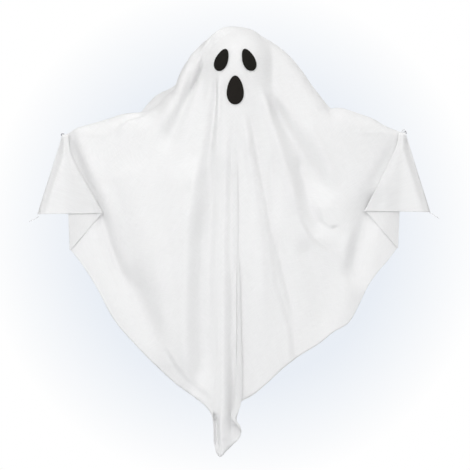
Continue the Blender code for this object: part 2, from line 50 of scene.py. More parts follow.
# Sizes of the drape, as in the solid
FRONT_LENGTH = 0.410
LEFT_REACH = 0.1636
RIGHT_REACH = 0.1576
LEFT_TIP_DROP = 0.1035
RIGHT_TIP_DROP = 0.1015
BACK_LENGTH = 0.119
BALL_DIAMETER = 0.068
SOLID_THICKNESS = 0.0008
BALL_TO_CLOTH = 0.0010
HEAD_RADIUS = BALL_DIAMETER / 2 + BALL_TO_CLOTH + SOLID_THICKNESS / 2
HEAD_Z = -SOLID_THICKNESS / 2 - HEAD_RADIUS
TIP_DEPTH = 0.0025
CLOTH_THICKNESS = 0.00035

# Roundness of the drape beside the ball, as shares of the head's radius: how far below the top line
# the cloth has turned upright, how far front and cape stand off there, and how far below the ball's
# middle they have gone over to their lower form
ROLL_SHARE = 0.85
FRONT_FULLNESS = 0.62
CAPE_FULLNESS = 0.55
LOW_FORM_DROP = 2.5
# The front comes back towards the top line's plane by this share at its foot
HANG_BACK = 0.18
# Folds come in over this share of the reach at the arm tips
TIP_FADE = 0.08
# A valley is no deeper than this on the ball. Off it, by shares of the head's radius, it can go in
# further, down to the deepest.
BALL_VALLEY = 0.0005
DEEPEST_VALLEY = 0.02
OFF_BALL_START = 0.02
OFF_BALL_FADE = 0.4

# Side corners, measured from the arm tip
CORNER_OUT = 0.027
CORNER_DROP = 0.0757
FLAP_FOLD_IN = 0.036
FLAP_FOLD_DROP = 0.0750
LEFT_FLAP_START = 0.24
RIGHT_FLAP_START = 0.15
SIDE_FOLD_IN = 0.0046
SIDE_FOLD_DROP = 0.110
TIP_WIDTH = 0.003
TIP_LAYER_GAP = 0.0012
HEM_LAYER_GAP = 0.0009
CORNER_CURL = 0.0065
CURL_WIDTH = 0.0085
FOLD_EDGE = 0.0009
# Sharpness of the bend where the flap's fold leaves the arm tip's line, per share of the way down
FLAP_TURN = 14.0
# The flap swells by this share of its width, less and less down to a share of the way down
FLAP_BULGE = 0.09
FLAP_BULGE_END = 0.9
# The corner's curl comes in over this share of the way down, on a strip of the flap
CURL_FADE = 0.15
CURL_STRIP = 1.6
# Gap that a folded layer keeps where it meets the front sheet, and how near that is
LAYER_CLEARANCE = 0.0006
LAYER_NEAR = 0.0012

# Face patches
FACE_SHIFT = -0.0017
EYE_SPACING = 0.0246
EYE_DROP = 0.0333
EYE_LENGTH = 0.0218
EYE_WIDTH = 0.0116
EYE_TILT = math.radians(22)
MOUTH_DROP = 0.0618
MOUTH_LENGTH = 0.0273
MOUTH_WIDTH = 0.0155
FELT_THICKNESS = 0.0008
FELT_GAP = 0.0003
# Width of its softened edge, as a share of its thickness
FELT_EDGE = 0.35
# Step in metres over which the cloth's slope under it is taken
SLOPE_STEP = 0.0008
EGG_TAPER = 0.22
PATCH_SEGMENTS = 72
PATCH_CUTS = 9

# Where the cloth leaves the ball, and the top line past it as shares of reach and tip drop
LEFT_LEAVE = math.radians(42)
RIGHT_LEAVE = math.radians(38)
LEFT_ARM = (
    (0.209, 0.175), (0.262, 0.285), (0.311, 0.377), (0.333, 0.463), (0.352, 0.550), (0.404, 0.629),
    (0.455, 0.719), (0.495, 0.764), (0.530, 0.784), (0.583, 0.795), (0.638, 0.802), (0.693, 0.820),
    (0.738, 0.845), (0.785, 0.870), (0.831, 0.893), (0.875, 0.916), (0.921, 0.943), (1.0, 1.0),
)
RIGHT_ARM = (
    (0.223, 0.159), (0.272, 0.215), (0.320, 0.281), (0.362, 0.356), (0.404, 0.440), (0.453, 0.553),
    (0.494, 0.633), (0.530, 0.706), (0.561, 0.762), (0.573, 0.772), (0.597, 0.765), (0.639, 0.769),
    (0.690, 0.794), (0.742, 0.822), (0.794, 0.850), (0.845, 0.886), (0.887, 0.928), (1.0, 1.0),
)

# Front hem: place across the sheet, then mm to the right of the crown and below it
HEM = (
    (-0.93, -148.4, 226.3), (-0.83, -135.0, 247.3), (-0.70, -117.9, 278.6), (-0.58, -98.9, 301.0),
    (-0.42, -72.3, 327.6), (-0.33, -57.5, 341.0), (-0.24, -39.9, 353.8), (-0.18, -29.5, 362.3),
    (-0.145, -24.0, 370.5), (-0.120, -22.7, 379.0), (-0.098, -22.4, 388.0), (-0.080, -22.0, 396.5),
    (-0.062, -19.6, 404.8), (-0.045, -15.6, 409.4), (-0.020, -9.5, 403.6), (0.006, -3.0, 396.8),
    (0.026, 2.4, 392.4), (0.040, 4.2, 386.5), (0.052, 2.4, 380.2), (0.064, -0.6, 373.6),
    (0.077, -1.6, 366.8), (0.092, 1.6, 359.6), (0.110, 6.6, 355.7), (0.140, 13.4, 352.3),
    (0.24, 28.8, 339.7), (0.33, 44.9, 325.0), (0.41, 58.2, 315.0), (0.53, 78.3, 302.3),
    (0.61, 91.6, 291.7), (0.70, 106.2, 282.3), (0.77, 115.6, 266.3), (0.84, 125.0, 247.6),
    (0.91, 135.6, 232.9), (0.97, 144.9, 222.2),
)

# A fold comes and goes over these shares of its line's length, at its start and its end
SOFT_ENDS = (0.18, 0.25)
CRISP_ENDS = (0.15, 0.18)

# Soft folds of the front: rise towards the viewer (a valley is negative), half width at the
# start and at the end, then the line, all in mm
SOFT_FOLDS = (
    (-6.5, 3.0, 9.0, ((-34.0, 36.0), (-40.9, 50.0), (-47.5, 66.6), (-55.2, 83.7), (-63.7, 103.7),
        (-72.3, 124.6))),
    (3.6, 3.0, 8.0, ((-31.0, 18.0), (-41.5, 34.0), (-50.0, 54.0), (-60.0, 76.0), (-70.0, 100.0))),
    (-5.0, 2.6, 6.0, ((-20.4, 44.0), (-21.9, 58.0), (-22.8, 78.0), (-25.2, 104.0), (-29.5, 136.0),
        (-36.0, 172.0))),
    (2.4, 2.0, 4.0, ((-16.4, 46.0), (-16.8, 68.0), (-17.6, 96.0), (-20.0, 130.0))),
    (-3.0, 4.0, 6.0, ((-24.0, 130.0), (-25.0, 165.0), (-26.0, 205.0), (-27.0, 250.0), (-27.0, 293.9),
        (-27.0, 350.0))),
    (3.0, 8.0, 15.0, ((-39.0, 155.0), (-56.1, 188.3), (-72.3, 216.8), (-71.3, 250.1), (-67.5, 288.2),
        (-62.0, 330.0))),
    (3.0, 2.5, 9.0, ((4.8, 77.0), (9.5, 111.3), (16.2, 153.1), (20.9, 193.1), (23.8, 240.6), (27.0, 300.0))),
    (4.6, 3.0, 8.0, ((21.0, 56.0), (29.5, 86.0), (39.9, 116.3), (50.3, 153.1), (58.9, 191.2))),
    (-9.0, 3.0, 15.0, ((31.0, 62.0), (38.0, 77.0), (46.1, 92.3), (59.0, 116.1), (71.0, 138.0),
        (81.0, 158.0), (88.0, 174.0))),
    (-4.5, 5.0, 8.0, ((58.0, 122.0), (65.6, 155.0), (71.0, 172.0), (76.1, 185.4), (84.0, 205.0))),
    (2.0, 6.0, 9.0, ((64.0, 86.0), (78.0, 112.0), (88.0, 136.0), (95.0, 160.0))),
    (3.0, 6.0, 13.0, ((106.5, 191.2), (104.6, 221.6), (104.6, 250.1), (101.8, 280.5), (101.0, 300.0))),
    (-7.0, 7.0, 12.0, ((136.0, 150.0), (127.4, 180.8), (118.9, 204.6), (112.3, 225.5), (106.5, 256.0))),
    (-6.0, 8.0, 13.0, ((-136.0, 160.0), (-128.0, 180.0), (-120.0, 200.0), (-115.0, 215.0), (-106.0, 236.0),
        (-94.0, 262.0), (-79.0, 291.0), (-60.8, 312.9))),
    (-4.0, 8.0, 18.0, ((60.0, 200.0), (76.0, 235.0), (84.0, 265.0), (86.0, 300.0))),
    (-2.6, 2.0, 2.8, ((-85.6, 83.3), (-98.3, 86.4), (-105.8, 88.5), (-111.1, 93.1), (-114.8, 97.6),
        (-118.6, 104.2), (-123.8, 109.5))),
    (1.2, 2.5, 3.5, ((-85.6, 87.3), (-98.3, 90.8), (-106.8, 93.5), (-111.5, 99.1), (-113.8, 104.6))),
    (-1.2, 1.8, 2.2, ((103.7, 86.5), (108.8, 92.8), (112.1, 98.5), (113.2, 103.7))),
    (0.8, 1.6, 2.0, ((107.0, 84.5), (112.8, 91.2), (116.1, 98.5), (117.0, 104.7))),
    (-1.0, 1.4, 2.0, ((90.5, 77.8), (87.0, 80.0), (82.0, 80.8), (76.0, 79.0))),
    (-1.5, 2.0, 5.0, ((34.0, 118.0), (33.0, 150.0), (38.0, 190.0))),
    (-3.5, 6.0, 12.0, ((156.0, 106.0), (146.0, 124.0), (136.0, 144.0), (126.0, 162.0), (116.0, 182.0),
        (108.0, 200.0))),
    (0.5, 1.5, 1.5, ((-160.0, 103.8), (-140.0, 103.8), (-115.0, 103.8))),
    (0.5, 1.5, 1.5, ((155.0, 102.0), (135.0, 102.0), (110.0, 102.0))),
    (-2.6, 3.0, 6.0, ((-4.0, 85.0), (-6.0, 140.0), (-7.0, 220.0), (-7.5, 300.0), (-7.5, 395.0))),
    (-7.0, 2.2, 2.8, ((-20.2, 368.0), (-19.8, 379.0), (-19.6, 392.0), (-18.8, 405.0))),
)

# Crisp folds: rise of the high side, the length over which it falls away, the same for the low
# side, the width of the turn between them, then the line, all in mm. The high side is on the
# picture's left of a line that runs down, and with a negative rise it is the low one.
CRISP_FOLDS = (
    (14.0, 24.0, 10.0, 22.0, ((-28.0, 120.0), (-33.0, 165.0), (-38.0, 205.0), (-40.0, 250.0),
        (-40.0, 293.9), (-39.0, 325.0), (-42.0, 352.0))),
    (6.5, 6.0, 2.4, 4.4, ((1.9, 2.9), (-5.7, 4.6), (-13.0, 8.6), (-22.0, 16.5), (-29.0, 26.5),
        (-34.6, 37.5), (-40.4, 50.0), (-47.0, 66.6))),
    (2.6, 7.0, 22.0, 13.0, ((-6.0, 215.0), (-6.5, 260.0), (-6.5, 300.0), (-6.0, 340.0), (-7.0, 375.0),
        (-8.0, 445.0))),
    (0.9, 2.4, 2.0, 1.6, ((3.8, 2.6), (-8.4, 7.0), (-16.9, 12.6), (-22.5, 20.3))),
    (1.6, 6.0, 12.0, 4.0, ((8.3, 77.6), (13.7, 103.7), (20.0, 137.9), (25.7, 166.4), (29.9, 194.0),
        (37.1, 215.9), (41.8, 235.4), (48.5, 261.5), (55.0, 290.0))),
    (1.6, 6.0, 4.0, 2.0, ((58.0, 175.9), (64.7, 192.1), (73.2, 204.5), (85.6, 213.0), (101.8, 216.8))),
    (-1.6, 3.0, 4.0, 2.0, ((77.0, 170.2), (80.8, 185.4), (88.4, 192.1), (98.0, 189.2))),
    (1.8, 8.0, 22.0, 7.0, ((29.5, 195.0), (37.8, 249.7), (49.5, 286.3), (53.0, 314.4), (55.0, 335.0))),
    (-9.0, 8.0, 16.0, 18.0, ((-165.0, 92.0), (-155.0, 113.0), (-141.0, 145.0), (-132.0, 163.0),
        (-127.0, 184.0), (-121.0, 206.0), (-110.0, 234.0), (-98.0, 256.0))),
    (-5.0, 20.0, 24.0, 40.0, ((-122.0, 130.0), (-110.0, 160.0), (-100.0, 195.0), (-92.0, 230.0),
        (-82.0, 270.0))),
    (-1.4, 5.0, 3.0, 2.4, ((-68.5, 302.4), (-62.8, 312.9), (-54.2, 327.1), (-39.9, 342.4), (-20.9, 355.7))),
)

# Folded-over pleat beside the mouth: its place across the sheet and its line in mm
PLEAT_PLACE = -0.045
PLEAT_LINE = (
    (-3.0, 60.0), (-5.0, 77.0), (-9.5, 108.4), (-12.0, 140.7), (-12.8, 193.1), (-13.3, 250.1),
    (-13.5, 302.4), (-13.6, 349.0), (-14.6, 368.0), (-15.4, 385.0), (-15.6, 409.4),
)
PLEAT_RISE = 0.0014
# Depth below the crown where it starts, where it grows again and by how much, in metres
PLEAT_TOP = 0.072
PLEAT_FOOT = 0.28
PLEAT_FOOT_GAIN = 1.3
PLEAT_FADE = 0.08
# Across the sheet: the fall of its high side, start and fall of its low side, the turn between
# them, and how far the low side is tucked under, as a share of the rise
PLEAT_HIGH = 0.030
PLEAT_LOW_START = 0.03
PLEAT_LOW = 0.085
PLEAT_TURN = 0.046
PLEAT_TUCK = 1.1
# The ribs are drawn to the pleat's line from this depth down, over this width across the sheet
DRAWN_TOP = 0.055
DRAWN_FADE = 0.03
DRAWN_WIDTH = 0.17

# Neck of the gathered corner, drawn in on its right as far as a place across the sheet
NECK_Z = -0.3715
NECK_HEIGHT = 0.0085
NECK_MIDDLE = -0.008
NECK_FADE = 0.008
NECK_TUCK = 0.0045
NECK_END = 0.083
NECK_END_FADE = 0.01

# Top of the back layer that shows behind the left shoulder: place across in metres, then mm below
# the crown
BACK_LINE = (
    (-0.200, 200.0), (-0.110, 110.0), (-0.0939, 82.0), (-0.0887, 74.4), (-0.0835, 67.9), (-0.0789, 62.8),
    (-0.0726, 58.6), (-0.0642, 55.0), (-0.0564, 49.2), (-0.0533, 44.0), (-0.045, 60.0), (0.20, 300.0),
)
# How far below the top line its lift dies out, how far behind it the lift starts and over what
# depth it comes in, and its lean to the back
BACK_LIFT_FADE = 0.08
BACK_LIFT_START = 0.003
BACK_LIFT_DEPTH = 0.006
BACK_LEAN = 0.8
# Pleats of the cape: half waves from arm tip to arm tip, their depth, and how soon they open; and
# how much higher the cape's hem is at the sides
CAPE_PLEATS = 9
CAPE_PLEAT_DEPTH = 0.0055
CAPE_OPENING = 1.6
CAPE_TIP_FADE = 0.3
CAPE_SIDE_LIFT = 0.010
# The front's folds run over the top line and end this far behind it
OVER_TOP = 0.018

# Long waves that run down from a place above the crown: waves in a full turn, phase, slant and size
# in mm; that place's height, and how far from it they have their full size
SMALL_WAVES = ((23, 0.4, 4, 0.42), (37, 2.1, -6, 0.26), (61, 4.0, 9, 0.13))
WAVE_CENTRE = 0.05
WAVE_FADE = 0.25

# Tails of sewing thread at the corners and at the right arm tip, in mm
THREAD_DIAMETER = 0.0006
THREAD_TAILS = (
    ("left_corner_tail", (
        (-188.8, -8.0, -181.5), (-191.5, -8.2, -183.0), (-194.6, -8.4, -184.8), (-198.0, -8.6, -186.4),
    )),
    ("right_corner_tail", (
        (183.4, -8.0, -177.6), (186.0, -8.2, -178.9), (189.5, -8.4, -181.4), (192.6, -8.6, -183.2),
    )),
    ("right_tip_tail", (
        (157.0, -0.2, -101.6), (157.8, -0.4, -99.6), (159.0, -0.6, -98.4), (160.6, -0.8, -98.6),
        (161.2, -0.9, -99.6),
    )),
)

# Ribs: their even share of spacing on the top line; where, how widely and how much closer they lie
# round the pleat, and the places that this is summed over; and the longest stretch of a rib, as a
# share of it, that is given to its turn from level to upright
EVEN_SHARE = 0.55
DENSE_PLACE = -0.04
DENSE_WIDTH = 0.13
DENSE_GAIN = 3.2
RIB_SAMPLES = 2001
LONGEST_WRAP = 0.6

# Resolution of the sheet
FRONT_COLUMNS = 210
FRONT_ROWS = 140
ROLL_ROWS = 26
CAPE_ROWS = 26
TURN_COLUMNS = 6
MIDDLE_COLUMNS = 8
FLAP_COLUMNS = 22

# Patterns of the materials. The real weave has threads 0.35 mm apart and the real sewing thread's
# twist repeats every 0.6 mm: both are drawn about twice as coarse.
WEAVE_SPACING = 0.691 * MM
TWIST_SPACING = 1.184 * MM
SLUB_LENGTH = 12.5 * MM
SLUB_WIDTH = MM / 1.2

# Stage: a round floor that the camera sees fade to white between two distances from its middle,
# and a pale-blue glow on the backdrop that fades between two slopes off straight ahead. The least
# forward share of a direction keeps its slope finite.
FLOOR_RADIUS = 0.9
FLOOR_Z = -0.62
FLOOR_FADE = (0.25, FLOOR_RADIUS - 0.02)
GLOW = (0.0358, 0.0602)
AHEAD_LEAST = 0.01

# Lamps: name, place, target, side in metres and power in watts
LAMPS = (
    ("key_lamp", (-0.2, -1.1, 0.45), (0.0, 0.0, -0.15), 0.7, 8.5),
    ("left_lamp", (-1.3, -0.8, 0.3), (0.0, 0.0, -0.15), 1.0, 3.0),
    ("right_lamp", (1.3, -0.8, 0.3), (0.0, 0.0, -0.15), 1.0, 3.8),
    ("top_lamp", (0.2, -0.2, 1.0), (0.0, 0.0, -0.1), 1.2, 3.1),
    ("back_lamp", (0.5, 1.5, 0.5), (0.0, 0.0, -0.15), 1.2, 7.0),
)

# Camera: the photo's width in pixels, and a pixel's size at the crown's plane. On the front of the
# cloth, which is some 17 mm nearer, a pixel is the 0.951 mm that the sizes are taken from.
PHOTO_PIXELS = 470
PIXEL_SIZE = 0.955 * MM
SENSOR_WIDTH = 36.0
CAMERA_DISTANCE = 4.0
CAMERA_X = -1.9 * MM
CAMERA_Z = -199.1 * MM


# Drape


def smooth(value):
    """0 below 0, 1 above 1, with a soft start and end."""
    value = np.clip(value, 0.0, 1.0)
    return value * value * (3.0 - 2.0 * value)


def through(points, place, start_slope=None):
    """Values at the places on the smooth curve through (place, value) points."""
    at = np.array([p[0] for p in points], float)
    value = np.array([p[1] for p in points], float)
    steps = np.diff(value) / np.diff(at)
    slopes = np.concatenate(([steps[0]], (steps[:-1] + steps[1:]) / 2, [steps[-1]]))
    if start_slope is not None:
        slopes[0] = start_slope
    place = np.clip(place, at[0], at[-1])
    i = np.clip(np.searchsorted(at, place, side="right") - 1, 0, len(at) - 2)
    width = at[i + 1] - at[i]
    t = (place - at[i]) / width
    return (
        (2 * t**3 - 3 * t**2 + 1) * value[i]
        + (t**3 - 2 * t**2 + t) * width * slopes[i]
        + (3 * t**2 - 2 * t**3) * value[i + 1]
        + (t**3 - t**2) * width * slopes[i + 1]
    )


def larger(first, second, sharpness=6):
    """Soft maximum of two lengths."""
    return (first**sharpness + second**sharpness) ** (1 / sharpness)


def reach_at(x):
    """Reach of the arm on the side that x lies on."""
    return np.where(x < 0, LEFT_REACH, RIGHT_REACH)


def ridge_side(x, reach, drop, leave, arm):
    """Height of the top line on one side, x counted outwards."""
    leave_x = HEAD_RADIUS * math.sin(leave)
    points = [(leave_x, HEAD_Z + HEAD_RADIUS * math.cos(leave))]
    points += [(across * reach, -down * drop) for across, down in arm]
    on_ball = HEAD_Z + np.sqrt(np.maximum(HEAD_RADIUS**2 - x**2, 0.0))
    return np.where(x <= leave_x, on_ball, through(points, x, -math.tan(leave)))


def ridge_z(x):
    """Height of the top line from arm tip to arm tip, over the ball."""
    left = ridge_side(np.abs(x), LEFT_REACH, LEFT_TIP_DROP, LEFT_LEAVE, LEFT_ARM)
    right = ridge_side(np.abs(x), RIGHT_REACH, RIGHT_TIP_DROP, RIGHT_LEAVE, RIGHT_ARM)
    return np.where(x < 0, left, right)


def ball_depth(x):
    """Half depth of the ball's cloth at x, or nothing beside the ball."""
    return np.sqrt(np.maximum(HEAD_RADIUS**2 - x**2, 0.0))


def inward(x):
    """1 at the crown, 0 at an arm tip."""
    return 1.0 - np.minimum(np.abs(x) / reach_at(x), 1.0)


def roll_drop(x):
    """How far below the top line the cloth takes to turn from level to upright."""
    return larger(ball_depth(x), TIP_DEPTH + (ROLL_SHARE * HEAD_RADIUS - TIP_DEPTH) * inward(x) ** 0.6)


def tent_depth(x, z, fullness):
    """Depth of the cloth from the top line's plane, past the roll."""
    high = larger(ball_depth(x), TIP_DEPTH + (fullness * HEAD_RADIUS - TIP_DEPTH) * inward(x))
    low = TIP_DEPTH + (HEAD_RADIUS - TIP_DEPTH) * inward(x) ** 0.8
    return high + (low - high) * smooth((HEAD_Z - z) / (LOW_FORM_DROP * HEAD_RADIUS))


def rolled(x, z):
    """Share of the full depth at this drop below the top line: a quarter ellipse, then 1."""
    drop = np.clip((ridge_z(x) - z) / roll_drop(x), 0.0, 1.0)
    return np.sqrt(1.0 - (1.0 - drop) ** 2)


def beside_line(line, x, z):
    """Share of the line's length at its nearest place, and distance from it.

    The distance is positive on the picture's right of a line that runs down.
    """
    px = np.array([p[0] for p in line]) * MM
    pz = np.array([p[1] for p in line]) * -MM
    lengths = np.hypot(np.diff(px), np.diff(pz))
    starts = np.concatenate(([0.0], np.cumsum(lengths)))
    nearest = np.full(np.shape(x), 1e9)
    along = np.zeros(np.shape(x))
    aside = np.zeros(np.shape(x))
    for i, length in enumerate(lengths):
        dx, dz = (px[i + 1] - px[i]) / length, (pz[i + 1] - pz[i]) / length
        held = np.clip((x - px[i]) * dx + (z - pz[i]) * dz, 0.0, length)
        away = np.hypot(x - px[i] - held * dx, z - pz[i] - held * dz)
        side = (z - pz[i]) * dx - (x - px[i]) * dz
        closer = away < nearest
        nearest = np.where(closer, away, nearest)
        along = np.where(closer, (starts[i] + held) / starts[-1], along)
        aside = np.where(closer, np.where(side < 0, -away, away), aside)
    return along, aside


def soft_rise(x, z):
    """All soft folds together."""
    rise = np.zeros(np.shape(x))
    for height, start_width, end_width, line in SOFT_FOLDS:
        along, aside = beside_line(line, x, z)
        width = (start_width + (end_width - start_width) * along) * MM
        fade = smooth(along / SOFT_ENDS[0]) * smooth((1.0 - along) / SOFT_ENDS[1])
        rise += height * MM * fade * np.exp(-((aside / width) ** 2))
    return rise


def crisp_rise(x, z):
    """All crisp folds together: one side stands over the other."""
    rise = np.zeros(np.shape(x))
    for height, high_width, low_width, turn, line in CRISP_FOLDS:
        along, aside = beside_line(line, x, z)
        fade = smooth(along / CRISP_ENDS[0]) * smooth((1.0 - along) / CRISP_ENDS[1])
        high = np.exp(np.minimum(aside, 0.0) / (high_width * MM))
        low = np.exp(-np.maximum(aside, 0.0) / (low_width * MM))
        step = 1.0 - 2.0 * smooth(aside / (turn * MM) + 0.5)
        rise += height * MM * fade * high * low * step
    return rise


def small_waves(x, z):
    """Slight unevenness of loose cloth: long waves that run down from the crown."""
    angle = np.arctan2(x, WAVE_CENTRE - z)
    distance = np.hypot(x, z - WAVE_CENTRE)
    wave = np.zeros(np.shape(x))
    for count, phase, slant, size in SMALL_WAVES:
        wander = 0.7 * np.sin(11 * distance + phase)
        wave += size * np.sin(count * angle + slant * distance + phase + wander)
    return wave * MM * smooth(distance / WAVE_FADE)


def front_base(x, z):
    """Depth of the front sheet without its folds."""
    hang = 1.0 - HANG_BACK * smooth((HEAD_Z - z) / FRONT_LENGTH)
    return -rolled(x, z) * tent_depth(x, z, FRONT_FULLNESS) * hang


def front_rise(x, z):
    """How far the folds of the front stand out of the plain drape, which stays clear of the ball."""
    rise = smooth(inward(x) / TIP_FADE) * (soft_rise(x, z) + crisp_rise(x, z) + small_waves(x, z))
    rise *= 0.3 + 0.7 * smooth(rolled(x, z) / 0.6)
    off_ball = np.hypot(np.hypot(x, front_base(x, z)), z - HEAD_Z) / HEAD_RADIUS - 1.0
    free = smooth((off_ball - OFF_BALL_START) / OFF_BALL_FADE)
    return np.maximum(rise, -BALL_VALLEY - DEEPEST_VALLEY * free)


def cape_base(x, z):
    """Depth of the cape behind the top line without its pleats."""
    return rolled(x, z) * tent_depth(x, z, CAPE_FULLNESS)


def cape_rise(x, z):
    """Pleats of the cape, which open towards its hem, and the folds that run over the top line."""
    wave = np.cos(math.pi * CAPE_PLEATS * x / reach_at(x) / 2 + 0.6 * np.sin(23 * x))
    below = smooth((ridge_z(x) - z) / BACK_LENGTH * CAPE_OPENING)
    pleat = CAPE_PLEAT_DEPTH * (1.0 + wave) * below * smooth(inward(x) / CAPE_TIP_FADE)
    over = front_rise(x, ridge_z(x)) * (1.0 - smooth(cape_base(x, z) / OVER_TOP))
    return pleat + over + small_waves(x, z) * below * inward(x)


def tip_of(side):
    """Arm tip on side -1 (left) or 1 (right), in the picture plane."""
    return (-LEFT_REACH, -LEFT_TIP_DROP) if side < 0 else (RIGHT_REACH, -RIGHT_TIP_DROP)


def fold_place(side, down, inset, drop, tip_inset=0.0):
    """Places on a line from the arm tip to a hem point given inward and down from the tip."""
    tip_x, tip_z = tip_of(side)
    return tip_x - side * (tip_inset + (inset - tip_inset) * down), tip_z - drop * down


def across_places():
    """Places of the ribs from -1 to 1, closer together round the pleat beside the mouth."""
    even = np.linspace(-1.0, 1.0, RIB_SAMPLES)
    density = 1.0 + DENSE_GAIN * np.exp(-(((even - DENSE_PLACE) / DENSE_WIDTH) ** 2))
    total = np.concatenate(([0.0], np.cumsum((density[1:] + density[:-1]) / 2)))
    return np.interp(np.linspace(0.0, total[-1], FRONT_COLUMNS + 1), total, even)


def ridge_place(across):
    """Where each rib starts on the top line, closer together over the ball."""
    spread = EVEN_SHARE * across + (1.0 - EVEN_SHARE) * across**3
    inset = TIP_LAYER_GAP / 2
    x = spread * np.where(across < 0, LEFT_REACH - inset, RIGHT_REACH - inset)
    return x, ridge_z(x)


def hem_place(across):
    """Where each rib ends on the front hem."""
    points = [(place, x * MM, -down * MM) for place, x, down in HEM]
    for side in (-1, 1):
        x, z = fold_place(side, 1.0, SIDE_FOLD_IN + HEM_LAYER_GAP / 2, SIDE_FOLD_DROP)
        points.append((float(side), x, z))
    points.sort()
    x = through([(place, x) for place, x, _ in points], across)
    z = through([(place, z) for place, _, z in points], across)
    return x, z


def down_shares(top, foot, roll, rows, roll_rows):
    """Shares down each rib, one column each: finer over the roll, then even to the hem."""
    wrap = np.minimum(roll / np.maximum(top - foot, 1e-6), LONGEST_WRAP)
    turn = 1.0 - np.cos(math.pi / 2 * np.arange(roll_rows) / roll_rows)
    even = np.arange(rows - roll_rows + 1) / (rows - roll_rows)
    return np.vstack((turn[:, None] * wrap, wrap + (1.0 - wrap) * even[:, None]))


def pleat_rise(across, z):
    """Pleat beside the mouth: it stands out left of its line and is tucked under right of it."""
    top, foot = smooth((-z - PLEAT_TOP) / PLEAT_FADE), smooth((-z - PLEAT_FOOT) / PLEAT_FADE)
    down = top + PLEAT_FOOT_GAIN * foot
    past = across - PLEAT_PLACE
    high = np.exp(np.minimum(past, 0.0) / PLEAT_HIGH)
    low = np.exp(-np.maximum(past - PLEAT_LOW_START, 0.0) / PLEAT_LOW)
    turn = 1.0 - (1.0 + PLEAT_TUCK) * smooth(past / PLEAT_TURN)
    return PLEAT_RISE * down * high * low * turn


def front_lines():
    """Places across and height of the front's ribs, rows from the top line to the hem."""
    across = across_places()
    x0, z0 = ridge_place(across)
    x1, z1 = hem_place(across)
    down = down_shares(z0, z1, roll_drop(x0), FRONT_ROWS, ROLL_ROWS)
    x = x0 + (x1 - x0) * down
    z = z0 + (z1 - z0) * down
    line = [(-d * MM, place * MM) for place, d in reversed(PLEAT_LINE)]
    at_pleat = np.array([np.interp(PLEAT_PLACE, across, row) for row in x])
    z_pleat = np.array([np.interp(PLEAT_PLACE, across, row) for row in z])
    drawn = (through(line, z_pleat) - at_pleat) * smooth((-z_pleat - DRAWN_TOP) / DRAWN_FADE)
    x = x + drawn[:, None] * np.exp(-(((across - PLEAT_PLACE) / DRAWN_WIDTH) ** 2))
    neck = np.exp(-(((z - NECK_Z) / NECK_HEIGHT) ** 2)) * smooth((NECK_END - across) / NECK_END_FADE)
    x = x - NECK_TUCK * neck * smooth((x - NECK_MIDDLE) / NECK_FADE)
    return x, np.minimum(z, ridge_z(x))


def cape_lines():
    """Places across and height of the cape's ribs, rows from its hem up to the top line."""
    across = across_places()
    x0, z0 = ridge_place(across)
    z1 = -BACK_LENGTH + CAPE_SIDE_LIFT * np.abs(across)
    down = down_shares(z0, z1, roll_drop(x0), CAPE_ROWS, CAPE_ROWS // 2)[:0:-1]
    return np.broadcast_to(x0, down.shape), z0 + (z1 - z0) * down


def outward(points):
    """Directions square to a grid of places, towards the outside of the ghost."""
    across = np.gradient(points, axis=1)
    down = np.gradient(points, axis=0)
    square = np.cross(down, across)
    return square / np.maximum(np.linalg.norm(square, axis=2, keepdims=True), 1e-12)


def sheet_points():
    """Places of the cape and the front in one grid, rows from the back hem to the front hem."""
    front_x, front_z = front_lines()
    cape_x, cape_z = cape_lines()
    x, z = np.vstack((cape_x, front_x)), np.vstack((cape_z, front_z))
    y = np.vstack((cape_base(cape_x, cape_z), front_base(front_x, front_z)))
    rise = np.vstack((cape_rise(cape_x, cape_z), front_rise(front_x, front_z)))
    rise[CAPE_ROWS:] += pleat_rise(across_places()[None, :], front_z)
    points = np.stack((x, y, z), axis=-1)
    points = points + outward(points) * rise[:, :, None]
    lift = np.maximum(through(BACK_LINE, cape_x) * -MM - ridge_z(cape_x), 0.0)
    fall = 1.0 - smooth((ridge_z(cape_x) - cape_z) / BACK_LIFT_FADE)
    stand = lift * fall * smooth((cape_base(cape_x, cape_z) - BACK_LIFT_START) / BACK_LIFT_DEPTH)
    points[:CAPE_ROWS, :, 2] += stand
    points[:CAPE_ROWS, :, 1] += BACK_LEAN * stand
    return points


def over_front(x, z, fold_y):
    """Depth that a folded layer clears: the front sheet's here, or its own side fold's."""
    body = front_base(x, z) - front_rise(x, z)
    near = np.exp(-(((fold_y - body) / LAYER_NEAR) ** 2))
    return np.minimum(fold_y, body) - LAYER_CLEARANCE * near


